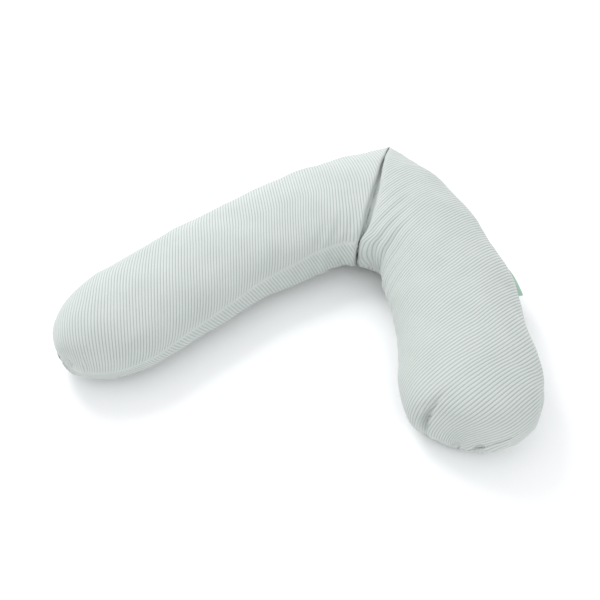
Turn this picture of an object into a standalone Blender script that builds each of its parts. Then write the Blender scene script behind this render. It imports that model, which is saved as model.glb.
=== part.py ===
"""Nursing pillow, lying on its side seam's plane and folded in the middle.

A long sausage of two curved fabric panels, with a loose inner bag of fine beads. The fold's plane is
x = 0 while the pieces are made; the arms open towards -Y, the outer side of the bend faces +Y. At the
end everything is moved, so that the origin lies at the bottom centre of the finished object's box.

A depth is measured inwards from the cover's outer surface, a height from the side seam upwards.
"""

import math
from collections import namedtuple

import bmesh
import bpy
from mathutils import Matrix, Vector

# Overall form, in metres and radians. An arm's length runs along its middle line, from the fold to the tip.
FOLD_ANGLE = math.radians(47)
STRAIGHT_LENGTH = 0.150
FOLD_WIDTH_OUTER = 0.180
FOLD_WIDTH_INNER = 0.190
FOLD_TAPER = 0.200
HALF_HEIGHT = 0.0995
SEAM_HEIGHT = 0.088

Arm = namedtuple("Arm", "sign length turn half_width cap_length cap_power")
ARMS = {
    "left": Arm(-1, 0.970, math.radians(23), 0.157, 0.200, 1.95),
    "right": Arm(1, 0.830, math.radians(53), 0.164, 0.155, 2.5),
}

# Layers: how deep each one's outer surface lies at the sides and the top, and how high its floor is.
Layer = namedtuple("Layer", "depth floor")
COVER_THICKNESS = 0.0016
BAG_THICKNESS = 0.0004
LAY_GAP = 0.0003
BAG_DEPTH = 0.0048
FILL_SPACE = 0.0023
FILL_DEPTH = BAG_DEPTH + BAG_THICKNESS + FILL_SPACE
COVER = Layer(0.0, 0.0)
BAG = Layer(BAG_DEPTH, COVER_THICKNESS + LAY_GAP)
FILL = Layer(FILL_DEPTH, BAG.floor + BAG_THICKNESS + LAY_GAP)

# The bend: the wedge between the arms that folds up, and the axis at its outer corner.
WEDGE_ANGLE = math.radians(21)
PIVOT_MARGIN = 0.002
WEDGE_MARGIN = 0.004
CUT_GAP = 0.0003

# Zips. They lie on a side seam where it is an arc, past the widening next to the fold.
TAPER_END = STRAIGHT_LENGTH + FOLD_TAPER
Zip = namedtuple("Zip", "name arm side start length rest coil_depth coil_radius plate depth_of_tape")
COVER_TAPE_GAP = 0.0006
BAG_TAPE_GAP = 0.0004
BAG_COIL_PROUD = 0.00035
COVER_TAPE_DEPTH = COVER_THICKNESS + COVER_TAPE_GAP
BAG_TAPE_DEPTH = BAG_DEPTH + BAG_THICKNESS + BAG_TAPE_GAP
BAG_COIL_DEPTH = BAG_DEPTH - BAG_COIL_PROUD
COVER_ZIP = Zip(
    "zip", "left", 1, TAPER_END + 0.012, 0.390, 0.0068, 0.0009, 0.00110, 0.0011, COVER_TAPE_DEPTH
)
BAG_ZIP = Zip(
    "bag_zip", "left", -1, TAPER_END + 0.030, 0.240, 0.0068, BAG_COIL_DEPTH, 0.00085, 0.0006, BAG_TAPE_DEPTH
)
TAPE_THICKNESS = 0.0005
TAPE_HEIGHT = 0.0110
COIL_SPACE = 0.0002
WINDOW_HALF_HEIGHT = 0.0050
WINDOW_REACH = 0.015
STOP_LENGTH = 0.004
END_GAP = 0.0003
SLIDER_LENGTH = 0.011
SLIDER_WALL = 0.0010
SLIDER_LIP = 0.0006
SLIDER_LIP_SHARE = 0.35
RUNNING_GAP = 0.0003
PULL_LENGTH = 0.022
PULL_WIDTH = 0.0046
PULL_THICKNESS = 0.0010
PULL_EYE_RADIUS = 0.0009
PULL_RIM = 0.0006
BAR_RADIUS = 0.0006
BAR_STANDOFF = 0.0020
POST_THICKNESS = 0.0008

# Labels.
SIDE_LABEL_START = TAPER_END + 0.018
SIDE_LABEL_LENGTH = 0.075
SIDE_LABEL_REACH = 0.012
SIDE_LABEL_THICKNESS = 0.0009
CARE_LABEL_START = TAPER_END + 0.220
CARE_LABEL_LENGTH = 0.025
CARE_LABEL_HEIGHT = 0.024
CARE_LABEL_THICKNESS = 0.0004
CARE_LABEL_GAP = 0.0009
LABEL_GAP = 0.0004

# Mesh resolution.
RING_POINTS = 20
FOLD_RINGS = 4
FOLD_RINGS_SHARE = 1 / 3
RING_SPACING = 0.048
CAP_RINGS = 6
SWEEP_STEP = 0.028
WIRE_SIDES = 2
REACH = 1.5  # half the size of the boxes that cut

COLLECTION = "nursing_pillow"
RING_STEP = 2 * math.pi / RING_POINTS
COLOURS = {
    "cover_corduroy": ((0.62, 0.68, 0.65), 0.95, 0.0),
    "bag_cotton": ((0.86, 0.86, 0.84), 0.90, 0.0),
    "beads": ((0.92, 0.92, 0.92), 0.70, 0.0),
    "zip_tape": ((0.64, 0.70, 0.67), 0.85, 0.0),
    "zip_coil": ((0.66, 0.72, 0.69), 0.45, 0.0),
    "zip_metal": ((0.60, 0.60, 0.58), 0.35, 1.0),
    "label_ribbon": ((0.74, 0.82, 0.78), 0.70, 0.0),
    "label_white": ((0.88, 0.88, 0.88), 0.70, 0.0),
}


# ---------------------------------------------------------------- the plan and the sections


def smooth(x):
    """0 to 1 along a smooth step."""
    x = min(max(x, 0.0), 1.0)
    return x * x * (3 - 2 * x)


def arc_radius(arm):
    return (arm.length - STRAIGHT_LENGTH) / arm.turn


def heading(arm, s):
    """The middle line's angle from -Y at station s, outwards positive."""
    return FOLD_ANGLE - max(s - STRAIGHT_LENGTH, 0.0) / arc_radius(arm)


def outward(arm, s):
    """Unit vector from the middle line to the bend's outer side."""
    angle = heading(arm, s)
    return Vector((arm.sign * math.cos(angle), math.sin(angle), 0.0))


def forward(arm, s):
    """Unit vector along the middle line, away from the fold."""
    angle = heading(arm, s)
    return Vector((arm.sign * math.sin(angle), -math.cos(angle), 0.0))


def arc_centre(arm):
    """The point about which the arm's curved stretch turns."""
    start = forward(arm, 0.0) * STRAIGHT_LENGTH
    return start - outward(arm, 0.0) * arc_radius(arm)


def plan_point(arm, s, offset):
    """A point in plan, offset outwards from the middle line at station s."""
    if s <= STRAIGHT_LENGTH:
        return forward(arm, 0.0) * s + outward(arm, 0.0) * offset
    return arc_centre(arm) + outward(arm, s) * (arc_radius(arm) + offset)


def half_width(arm, s, side):
    """From the middle line to the side seam; side is 1 on the outer side and -1 on the inner."""
    at_fold = FOLD_WIDTH_OUTER if side > 0 else FOLD_WIDTH_INNER
    share = 1 - smooth((s - STRAIGHT_LENGTH) / FOLD_TAPER)
    return arm.half_width + (at_fold - arm.half_width) * share


def section_point(arm, s, angle, layer, end_share=1.0):
    """Offset and height of a section's point: an ellipse that is flat where the pillow lies on it."""
    side = 1 if math.cos(angle) >= 0 else -1
    offset = (half_width(arm, s, side) - layer.depth) * end_share * math.cos(angle)
    rise = (HALF_HEIGHT - layer.depth) * math.sqrt(end_share) * math.sin(angle)
    return offset, max(SEAM_HEIGHT + rise, layer.floor)


def fold_station(angle):
    """Where the section's point at this angle meets the fold's plane, on the straight stretch."""
    width = FOLD_WIDTH_OUTER if math.cos(angle) >= 0 else FOLD_WIDTH_INNER
    return -width * math.cos(angle) / math.tan(FOLD_ANGLE)


def body_rings(arm, layer):
    """The rings of one arm, from the first one off the fold's plane to the last one before the tip."""
    angles = [RING_STEP * k for k in range(RING_POINTS)]
    first = STRAIGHT_LENGTH + FOLD_TAPER * FOLD_RINGS_SHARE
    cap_start = arm.length - arm.cap_length
    rings = []
    for k in range(1, FOLD_RINGS + 1):
        share = k / FOLD_RINGS
        rings.append([(fold_station(a) * (1 - share) + first * share, a, 1.0) for a in angles])
    steps = math.ceil((cap_start - first) / RING_SPACING)
    for k in range(1, steps + 1):
        s = first + (cap_start - first) * k / steps
        rings.append([(s, a, 1.0) for a in angles])
    for k in range(1, CAP_RINGS):
        reach = math.sin(math.pi / 2 * k / CAP_RINGS)
        s = cap_start + (arm.cap_length - layer.depth) * reach
        end_share = (1 - reach**arm.cap_power) ** (1 / arm.cap_power)
        rings.append([(s, a, end_share) for a in angles])
    return [[ring_vertex(arm, layer, *point) for point in ring] for ring in rings]


def ring_vertex(arm, layer, s, angle, end_share):
    offset, z = section_point(arm, s, angle, layer, end_share)
    return plan_point(arm, s, offset) + Vector((0.0, 0.0, z))


def fold_ring(layer):
    """The ring in the fold's plane, where the two arms' straight stretches meet."""
    ring = []
    for k in range(RING_POINTS):
        offset, z = section_point(ARMS["left"], 0.0, RING_STEP * k, layer)
        ring.append(Vector((0.0, offset / math.sin(FOLD_ANGLE), z)))
    return ring


def whole_surface(layer):
    """One layer's closed outer surface, as a loft from the left tip over the fold to the right tip."""
    left, right = (body_rings(ARMS[name], layer) for name in ("left", "right"))
    rings = [*reversed(left), fold_ring(layer), *right]
    mesh = bmesh.new()
    rows = [[mesh.verts.new(point) for point in ring] for ring in rings]
    for here, there in zip(rows, rows[1:]):
        for k in range(RING_POINTS):
            after = (k + 1) % RING_POINTS
            mesh.faces.new((here[k], here[after], there[after], there[k]))
    for name, row in (("left", rows[0]), ("right", rows[-1])):
        arm = ARMS[name]
        tip = plan_point(arm, arm.length - layer.depth, 0.0) + Vector((0.0, 0.0, SEAM_HEIGHT))
        pole = mesh.verts.new(tip)
        for k in range(RING_POINTS):
            mesh.faces.new((row[k], row[(k + 1) % RING_POINTS], pole))
    bmesh.ops.recalc_face_normals(mesh, faces=mesh.faces[:])
    return mesh


# ---------------------------------------------------------------- objects


def clear_scene():
    for obj in list(bpy.data.objects):
        bpy.data.objects.remove(obj, do_unlink=True)


def collection(name):
    made = bpy.data.collections.new(name)
    bpy.context.scene.collection.children.link(made)
    return made


def material(name):
    """A Principled material of its own for each piece."""
    colour, roughness, metallic = COLOURS[name]
    made = bpy.data.materials.new(name)
    made.use_nodes = True
    shader = made.node_tree.nodes["Principled BSDF"]
    shader.inputs["Base Color"].default_value = (*colour, 1.0)
    shader.inputs["Roughness"].default_value = roughness
    shader.inputs["Metallic"].default_value = metallic
    return made


def add_object(name, data, where, finish=None):
    made = bpy.data.objects.new(name, data)
    where.objects.link(made)
    if finish:
        data.materials.append(material(finish))
    return made


def add_mesh(name, mesh, where, finish=None):
    """Turns a bmesh into an object."""
    data = bpy.data.meshes.new(name)
    mesh.to_mesh(data)
    mesh.free()
    return add_object(name, data, where, finish)


def add_cutter(name, mesh):
    made = add_mesh(name, mesh, cutters)
    made.hide_render = True
    made.display_type = "WIRE"
    return made


def cut(obj, cutter, operation="DIFFERENCE"):
    """A Boolean modifier that keeps, removes or adds the cutter's space."""
    modifier = obj.modifiers.new(cutter.name, "BOOLEAN")
    modifier.operation = operation
    modifier.solver = "EXACT"
    modifier.object = cutter


def set_origin(obj, point):
    """Moves the object's origin without moving its shape."""
    obj.data.transform(Matrix.Translation(-point))
    obj.location = point


def block(size, centre, rotation=0.0):
    """A closed box as a bmesh, turned about the vertical through the world's origin, then moved."""
    mesh = bmesh.new()
    bmesh.ops.create_cube(mesh, size=1.0)
    bmesh.ops.scale(mesh, vec=size, verts=mesh.verts)
    bmesh.ops.translate(mesh, vec=centre, verts=mesh.verts)
    bmesh.ops.rotate(mesh, matrix=Matrix.Rotation(rotation, 3, "Z"), verts=mesh.verts)
    return mesh


# ---------------------------------------------------------------- soft layers, cut at the bend


def pivot_point():
    """The bend's axis, just outside the fold's outer corner."""
    return Vector((0.0, FOLD_WIDTH_OUTER / math.sin(FOLD_ANGLE) + PIVOT_MARGIN, 0.0))


def arm_space(name, low, high, grow=0.0):
    """All that lies on one arm's side of the wedge, between two heights."""
    sign = ARMS[name].sign
    tall = high - low
    box = block(
        (2 * REACH, 4 * REACH, tall),
        Vector((sign * (REACH + WEDGE_MARGIN - grow), 0.0, low + tall / 2)),
        sign * WEDGE_ANGLE / 2,
    )
    bmesh.ops.translate(box, vec=pivot_point(), verts=box.verts)
    return box


def height_space(low, high):
    return block((4 * REACH, 4 * REACH, high - low), Vector((0.0, 0.0, (low + high) / 2)))


def soft_piece(name, layer, finish, thickness, region, low=-REACH, high=REACH):
    """One layer's stretch in one region: an arm, or the wedge that folds between them."""
    made = add_mesh(name, whole_surface(layer), parts, finish)
    if thickness:
        shell = made.modifiers.new("wall", "SOLIDIFY")
        shell.thickness = thickness
        shell.offset = -1.0
        shell.use_even_offset = True
    if region in ARMS:
        space = arm_space(region, low, high)
        cut(made, add_cutter(f"cut_{name}_{region}", space), "INTERSECT")
        return made
    for side in ARMS:
        beyond = arm_space(side, -REACH, REACH, CUT_GAP)
        cut(made, add_cutter(f"cut_{name}_{side}", beyond))
    if (low, high) != (-REACH, REACH):
        cut(made, add_cutter(f"cut_{name}_height", height_space(low, high)), "INTERSECT")
    return made


def make_layers():
    """The cover's two panels, the inner bag and the bead fill, each as left arm, fold and right arm."""
    seam_low, seam_high = SEAM_HEIGHT - CUT_GAP / 2, SEAM_HEIGHT + CUT_GAP / 2
    for region in ("left", "fold", "right"):
        top = soft_piece(
            f"cover_top_{region}", COVER, "cover_corduroy", COVER_THICKNESS, region, seam_high, REACH
        )
        bottom = soft_piece(
            f"cover_bottom_{region}", COVER, "cover_corduroy", COVER_THICKNESS, region, -REACH, seam_low
        )
        bag = soft_piece(f"inner_bag_{region}", BAG, "bag_cotton", BAG_THICKNESS, region)
        soft_piece(f"bead_fill_{region}", FILL, "beads", 0.0, region)
        if region == COVER_ZIP.arm:
            for panel in (top, bottom):
                cut(panel, zip_window(COVER_ZIP, panel.name))
        if region == BAG_ZIP.arm:
            cut(bag, zip_window(BAG_ZIP, bag.name))


# ---------------------------------------------------------------- pieces that follow a side seam


def seam_radius(arm, side):
    """Radius of the side seam's arc on the arm's curved stretch."""
    return arc_radius(arm) + side * arm.half_width


def swept(arm, side, profile, start, length):
    """A closed solid: a (depth, height) outline carried along the side seam's arc from station start."""
    mesh = bmesh.new()
    centre = arc_centre(arm)
    direction = outward(arm, start)
    radius = seam_radius(arm, side)
    corners = []
    for depth, height in profile:
        point = centre + direction * (radius - side * depth)
        point.z = SEAM_HEIGHT + height
        corners.append(mesh.verts.new(point))
    face = mesh.faces.new(corners)
    bmesh.ops.spin(
        mesh,
        geom=[face],
        cent=centre,
        axis=Vector((0.0, 0.0, -arm.sign)),
        dvec=Vector((0.0, 0.0, 0.0)),
        angle=length / arc_radius(arm),
        steps=max(1, math.ceil(length / SWEEP_STEP)),
        use_duplicate=False,
    )
    bmesh.ops.recalc_face_normals(mesh, faces=mesh.faces[:])
    return mesh


def rectangle(depth_out, depth_in, low, high, lean=0.0):
    """A (depth, height) outline whose ends lean inwards with the flank."""
    rows = ((depth_out, low), (depth_in, low), (depth_in, high), (depth_out, high))
    return [(depth + abs(height) * lean, height) for depth, height in rows]


def flank_lean(arm):
    """How far the flank's first facet leans inwards for each metre up or down from the seam."""
    return arm.half_width * (1 - math.cos(RING_STEP)) / (HALF_HEIGHT * math.sin(RING_STEP))


def zip_window(spec, owner):
    """The slot in the panel that shows the zip's coils."""
    profile = rectangle(-WINDOW_REACH, spec.depth_of_tape, -WINDOW_HALF_HEIGHT, WINDOW_HALF_HEIGHT)
    before = STOP_LENGTH + 2 * END_GAP
    body = swept(ARMS[spec.arm], spec.side, profile, spec.start - before, spec.length + 2 * before)
    return add_cutter(f"window_{owner}", body)


def add_coil(spec, name, height):
    """One row of zip teeth, as a wire along the seam's arc."""
    arm = ARMS[spec.arm]
    curve = bpy.data.curves.new(name, "CURVE")
    curve.dimensions = "3D"
    curve.bevel_depth = spec.coil_radius
    curve.bevel_resolution = WIRE_SIDES
    curve.use_fill_caps = True
    line = curve.splines.new("POLY")
    steps = math.ceil(spec.length / SWEEP_STEP)
    line.points.add(steps)
    radius = seam_radius(arm, spec.side) - spec.side * spec.coil_depth
    for k, point in enumerate(line.points):
        s = spec.start + spec.length * k / steps
        place = arc_centre(arm) + outward(arm, s) * radius
        point.co = (place.x, place.y, SEAM_HEIGHT + height, 1.0)
    add_object(name, curve, parts, "zip_coil")


def slider_profile(spec):
    """A channel over both coils, with lips that reach a little under them."""
    top = spec.coil_depth - spec.coil_radius - RUNNING_GAP
    side = 2 * spec.coil_radius + COIL_SPACE / 2 + RUNNING_GAP
    outer = side + SLIDER_WALL
    bottom = spec.coil_depth + spec.coil_radius
    lip = spec.coil_radius * SLIDER_LIP_SHARE + COIL_SPACE
    return [
        (top - spec.plate, -outer),
        (top - spec.plate, outer),
        (bottom, outer),
        (bottom, side - lip),
        (bottom - SLIDER_LIP / 2, side - lip),
        (bottom - SLIDER_LIP, side),
        (top, side),
        (top, -side),
        (bottom - SLIDER_LIP, -side),
        (bottom - SLIDER_LIP / 2, lip - side),
        (bottom, lip - side),
        (bottom, -outer),
    ]


def slider_station(spec):
    """Where the slider's middle rests."""
    return spec.start + spec.rest


def add_zip(spec):
    """Tapes, coils, end stops and slider of one zip."""
    arm = ARMS[spec.arm]
    lean = flank_lean(arm)
    overrun = STOP_LENGTH + END_GAP
    for word, sign in (("upper", 1), ("lower", -1)):
        heights = sorted((sign * COIL_SPACE, sign * TAPE_HEIGHT))
        profile = rectangle(spec.depth_of_tape, spec.depth_of_tape + TAPE_THICKNESS, *heights, lean)
        body = swept(arm, spec.side, profile, spec.start - overrun, spec.length + 2 * overrun)
        add_mesh(f"{spec.name}_tape_{word}", body, parts, "zip_tape")
        add_coil(spec, f"{spec.name}_coil_{word}", sign * (spec.coil_radius + COIL_SPACE / 2))
    reach = 2 * spec.coil_radius + COIL_SPACE
    stop = rectangle(spec.coil_depth - spec.coil_radius, spec.depth_of_tape - RUNNING_GAP, -reach, reach)
    ends = {"start": spec.start - overrun, "end": spec.start + spec.length + END_GAP}
    for word, station in ends.items():
        body = swept(arm, spec.side, stop, station, STOP_LENGTH)
        add_mesh(f"{spec.name}_{word}_stop", body, parts, "zip_metal")
    body = swept(
        arm, spec.side, slider_profile(spec), slider_station(spec) - SLIDER_LENGTH / 2, SLIDER_LENGTH
    )
    slider = add_mesh(f"{spec.name}_slider", body, parts, "zip_metal")
    set_origin(slider, arc_centre(arm))
    return slider


def bar_depth(spec):
    """Depth of the pull's hinge line, outside the slider's top plate."""
    return spec.coil_depth - spec.coil_radius - RUNNING_GAP - spec.plate - BAR_STANDOFF


def seam_frame(arm, side, s, depth):
    """Axes along the seam, outwards and up, at a point of that depth."""
    out = outward(arm, s) * side
    place = arc_centre(arm) + outward(arm, s) * (seam_radius(arm, side) - side * depth)
    place.z = SEAM_HEIGHT
    frame = Matrix((forward(arm, s), out, Vector((0.0, 0.0, 1.0)))).transposed().to_4x4()
    frame.translation = place
    return frame


def add_pull(spec, slider):
    """The bar and its two posts on the slider, and the pull tab that hangs from the bar."""
    arm = ARMS[spec.arm]
    frame = seam_frame(arm, spec.side, slider_station(spec), bar_depth(spec))
    half_gap = PULL_WIDTH / 2 + RUNNING_GAP
    posts = bmesh.new()
    for sign in (-1, 1):
        added = bmesh.ops.create_cube(posts, size=1.0)["verts"]
        height = BAR_STANDOFF + BAR_RADIUS + spec.plate
        bmesh.ops.scale(posts, vec=(POST_THICKNESS, height, 4 * BAR_RADIUS), verts=added)
        shift = Vector((sign * (half_gap + POST_THICKNESS / 2), BAR_RADIUS - height / 2, 0.0))
        bmesh.ops.translate(posts, vec=shift, verts=added)
    bar = bmesh.new()
    bmesh.ops.create_cone(
        bar,
        cap_ends=True,
        segments=12,
        radius1=BAR_RADIUS,
        radius2=BAR_RADIUS,
        depth=2 * half_gap + POST_THICKNESS,
        matrix=Matrix.Rotation(math.pi / 2, 4, "Y"),
    )
    for name, body in (("slider_posts", posts), ("slider_bar", bar)):
        bmesh.ops.transform(body, matrix=frame, verts=body.verts)
        cut(slider, add_cutter(name, body), "UNION")
    tab = bpy.data.curves.new("zip_pull", "CURVE")
    tab.dimensions = "2D"
    tab.fill_mode = "BOTH"
    tab.extrude = PULL_WIDTH / 2
    add_outline(tab, pull_outline())
    add_outline(tab, circle_points(PULL_EYE_RADIUS, 12))
    pull = add_object("zip_pull", tab, parts, "zip_metal")
    across = Matrix.Rotation(math.pi / 2, 4, "Z") @ Matrix.Rotation(math.pi / 2, 4, "X")
    pull.matrix_world = frame @ across


def circle_points(radius, count):
    turns = [2 * math.pi * k / count for k in range(count)]
    return [(radius * math.cos(a), radius * math.sin(a)) for a in turns]


def pull_outline():
    """Round the eye and down the tab, in the plane across the hinge line."""
    rim = PULL_EYE_RADIUS + PULL_RIM
    half = PULL_THICKNESS / 2
    begin = math.asin(half / rim)
    sweep = 2 * math.pi - 2 * begin
    count = 14
    turns = [-math.pi / 2 + begin + sweep * k / count for k in range(count + 1)]
    around = [(rim * math.cos(a), rim * math.sin(a)) for a in turns]
    return [*around, (-half, -PULL_LENGTH), (half, -PULL_LENGTH)]


def add_outline(curve, points):
    line = curve.splines.new("POLY")
    line.points.add(len(points) - 1)
    for point, (x, y) in zip(line.points, points):
        point.co = (x, y, 0.0, 1.0)
    line.use_cyclic_u = True


# ---------------------------------------------------------------- labels


def add_labels():
    """The ribbon loop that stands out of the right arm's outer seam, and the care label behind it."""
    arm = ARMS["right"]
    flag = rectangle(
        -LABEL_GAP - SIDE_LABEL_REACH, -LABEL_GAP, -SIDE_LABEL_THICKNESS / 2, SIDE_LABEL_THICKNESS / 2
    )
    add_mesh(
        "side_label",
        swept(arm, 1, flag, SIDE_LABEL_START, SIDE_LABEL_LENGTH),
        parts,
        "label_ribbon",
    )
    depth = COVER_THICKNESS + CARE_LABEL_GAP
    care = rectangle(depth, depth + CARE_LABEL_THICKNESS, -CARE_LABEL_HEIGHT, -LABEL_GAP, flank_lean(arm))
    add_mesh(
        "care_label",
        swept(arm, 1, care, CARE_LABEL_START, CARE_LABEL_LENGTH),
        parts,
        "label_white",
    )


# ---------------------------------------------------------------- the whole


def shown_box():
    """Lowest and highest corners of all parts, as they end up after their modifiers."""
    bpy.context.view_layer.update()
    graph = bpy.context.evaluated_depsgraph_get()
    low, high = Vector((math.inf,) * 3), Vector((-math.inf,) * 3)
    for obj in parts.objects:
        shape = obj.evaluated_get(graph)
        for vertex in shape.to_mesh().vertices:
            point = shape.matrix_world @ vertex.co
            low = Vector(map(min, low, point))
            high = Vector(map(max, high, point))
        shape.to_mesh_clear()
    return low, high


def move_to_base():
    """Puts the origin at the bottom centre of the object's box."""
    low, high = shown_box()
    shift = -Vector(((low.x + high.x) / 2, (low.y + high.y) / 2, low.z))
    for obj in [*parts.objects, *cutters.objects]:
        obj.location += shift


clear_scene()
parts = collection(COLLECTION)
cutters = collection(f"{COLLECTION}_cutters")
make_layers()
cover_slider = add_zip(COVER_ZIP)
add_pull(COVER_ZIP, cover_slider)
add_zip(BAG_ZIP)
add_labels()
move_to_base()
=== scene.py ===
"""Nursing pillow in wide-wale corduroy: the looks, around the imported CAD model.

The cover's two panels are built from lines that run along the corduroy's ribs. Each panel is laid out flat
first, with straight ribs, and then every point is carried onto the pillow's surface. The plan and the
section repeat the CAD model's formulas. Fold coordinates have the fold's plane at x = 0.
"""

import math
from collections import namedtuple

import bpy
import numpy as np
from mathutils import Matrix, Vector


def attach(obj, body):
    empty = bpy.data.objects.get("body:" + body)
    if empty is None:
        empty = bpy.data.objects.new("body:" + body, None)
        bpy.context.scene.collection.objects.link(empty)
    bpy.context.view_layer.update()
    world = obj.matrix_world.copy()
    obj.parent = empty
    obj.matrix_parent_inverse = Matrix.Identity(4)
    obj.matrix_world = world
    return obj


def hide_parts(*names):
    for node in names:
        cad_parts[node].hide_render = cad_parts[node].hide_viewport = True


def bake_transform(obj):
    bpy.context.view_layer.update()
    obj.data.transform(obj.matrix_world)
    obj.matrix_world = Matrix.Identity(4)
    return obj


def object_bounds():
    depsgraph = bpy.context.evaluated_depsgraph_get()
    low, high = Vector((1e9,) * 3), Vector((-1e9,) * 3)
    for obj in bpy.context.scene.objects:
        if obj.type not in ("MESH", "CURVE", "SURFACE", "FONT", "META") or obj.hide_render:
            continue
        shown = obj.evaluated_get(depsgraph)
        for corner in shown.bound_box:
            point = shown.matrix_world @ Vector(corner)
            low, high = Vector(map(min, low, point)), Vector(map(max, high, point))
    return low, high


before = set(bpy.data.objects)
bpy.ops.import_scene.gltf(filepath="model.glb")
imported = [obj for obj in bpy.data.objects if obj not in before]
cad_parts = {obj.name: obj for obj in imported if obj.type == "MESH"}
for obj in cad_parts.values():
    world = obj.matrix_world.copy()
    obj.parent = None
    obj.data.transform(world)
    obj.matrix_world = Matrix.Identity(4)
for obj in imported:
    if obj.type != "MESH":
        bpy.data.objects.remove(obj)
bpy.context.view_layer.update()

# ---------------------------------------------------------------- the plan and the section, as in the CAD

FOLD_ANGLE = math.radians(47)
STRAIGHT = 0.150
FOLD_WIDTH = {1: 0.180, -1: 0.190}
FOLD_TAPER = 0.200
HALF_HEIGHT = 0.0995
SEAM_HEIGHT = 0.088
TAPER_END = STRAIGHT + FOLD_TAPER

Arm = namedtuple("Arm", "sign length turn half_width cap_length cap_power rib_angle flat_turn")
LEFT = Arm(-1, 0.970, math.radians(23), 0.157, 0.200, 1.95, math.radians(113), math.radians(23))
RIGHT = Arm(1, 0.830, math.radians(53), 0.164, 0.155, 2.5, math.radians(61), math.radians(51))
ARMS = (LEFT, RIGHT)

CAP_TILT = {LEFT: math.radians(9), RIGHT: math.radians(30)}  # how far down a round end's tip is turned
TYPICAL_HALF_WIDTH = 0.160
PAST_FOLD = 0.25  # how far past the fold's station the flat panel goes on
FLAT_REACH_ACROSS, FLAT_REACH_ALONG = 1.4, 1.3  # the flat panel lies well inside this box

RIB_PITCH = 0.0075
RIB_HEIGHT = 0.00125
RIB_PHASES = (0.0, 0.13, 0.32, 0.5, 0.68, 0.87)  # where the lines lie across each rib
LINE_POINTS = 58

ZIP_START, ZIP_LENGTH = TAPER_END + 0.012, 0.390
ZIP_OPENING = 0.0046
BAG_ZIP_START, BAG_ZIP_LENGTH = TAPER_END + 0.030, 0.240
LABEL_START, LABEL_LENGTH, LABEL_REACH = TAPER_END + 0.018, 0.075, 0.015
CARE_START, CARE_LENGTH = TAPER_END + 0.220, 0.025


def smooth(x):
    x = np.clip(x, 0.0, 1.0)
    return x * x * (3 - 2 * x)


def radius(arm):
    return (arm.length - STRAIGHT) / arm.turn


def axes(arm):
    """Unit vectors at the fold: along the arm, and outwards from its middle line."""
    ahead = np.array([arm.sign * math.sin(FOLD_ANGLE), -math.cos(FOLD_ANGLE)])
    return ahead, np.array([arm.sign * math.cos(FOLD_ANGLE), math.sin(FOLD_ANGLE)])


def plan(arm, s, offset):
    """Points in plan, offset outwards from the middle line at stations s."""
    r = radius(arm)
    angle = FOLD_ANGLE - np.maximum(s - STRAIGHT, 0.0) / r
    out = np.stack([arm.sign * np.cos(angle), np.sin(angle)], -1)
    ahead, out0 = axes(arm)
    centre = ahead * STRAIGHT - out0 * r
    s, offset = s[..., None], offset[..., None]
    return np.where(s <= STRAIGHT, ahead * s + out0 * offset, centre + out * (r + offset))


def unplan(arm, points, r):
    """Stations and offsets of points in plan: the inverse of plan(), for an arm of radius r."""
    ahead, out0 = axes(arm)
    s, offset = points @ ahead, points @ out0
    rel = points - (ahead * STRAIGHT - out0 * r)
    angle = np.arctan2(rel[..., 1], arm.sign * rel[..., 0])
    curved = s > STRAIGHT
    s = np.where(curved, STRAIGHT + (FOLD_ANGLE - angle) * r, s)
    return s, np.where(curved, np.hypot(rel[..., 0], rel[..., 1]) - r, offset)


def fold_width(side):
    return np.where(side > 0, FOLD_WIDTH[1], FOLD_WIDTH[-1])


def fold_station(side, c):
    """The station at which the fold's plane cuts the surface, c of the half width off the middle line."""
    return -fold_width(side) * c / math.tan(FOLD_ANGLE)


def half_width(arm, s, side):
    share = 1 - smooth((s - STRAIGHT) / FOLD_TAPER)
    return arm.half_width + (fold_width(side) - arm.half_width) * share


def cap_share(arm, s):
    """How wide the round end still is at station s, from 1 to 0 at the tip."""
    reach = np.clip((s - (arm.length - arm.cap_length)) / arm.cap_length, 0, 1)
    return (1 - reach**arm.cap_power) ** (1 / arm.cap_power)


def panel_half(arm, s, side):
    """The panel's width from its middle to the seam, over the crown: a quarter of an ellipse."""
    share = cap_share(arm, s)
    a, b = half_width(arm, s, side) * share, HALF_HEIGHT * np.sqrt(share)
    return math.pi / 4 * (3 * (a + b) - np.sqrt((3 * a + b) * (a + 3 * b)))


QUARTER = np.linspace(0, math.pi / 2, 400)
_steps = np.sqrt((TYPICAL_HALF_WIDTH * np.sin(QUARTER)) ** 2 + (HALF_HEIGHT * np.cos(QUARTER)) ** 2)
_done = np.concatenate([[0], np.cumsum((_steps[1:] + _steps[:-1]) / 2)])
TO_CROWN = 1 - _done / _done[-1]  # 1 at the seam, 0 at the crown


def section_angle(share):
    """The section's angle for a share of the panel's half: 0 at the seam, a quarter turn at the crown."""
    return np.interp(1 - share, 1 - TO_CROWN, QUARTER)


def crown_table(arm):
    """Stations and the length over the crown up to each, which is what the flat panel has."""
    s = np.linspace(0, 1, 3000) ** 0.5 * arm.length
    z = HALF_HEIGHT * np.sqrt(cap_share(arm, s))
    longer = 1 + 0.8 * CAP_TILT[arm] * (s[1:] > arm.length - arm.cap_length)
    length = np.concatenate([[0], np.cumsum(np.hypot(np.diff(s), np.diff(z)) * longer)])
    return s, length


def beside(s, start, length, margin, ramp):
    """1 along a length and a little past its ends, and 0 away from it."""
    return smooth((s - start + margin) / ramp) * smooth((start + length + margin - s) / ramp)


def zip_share(arm, s, side):
    """1 along the cover's zip, 0 elsewhere on the seams."""
    if arm is not LEFT:
        return np.zeros_like(s)
    return beside(s, ZIP_START, ZIP_LENGTH, 0.010, 0.010) * (side > 0)


# ---------------------------------------------------------------- soft shape


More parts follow.
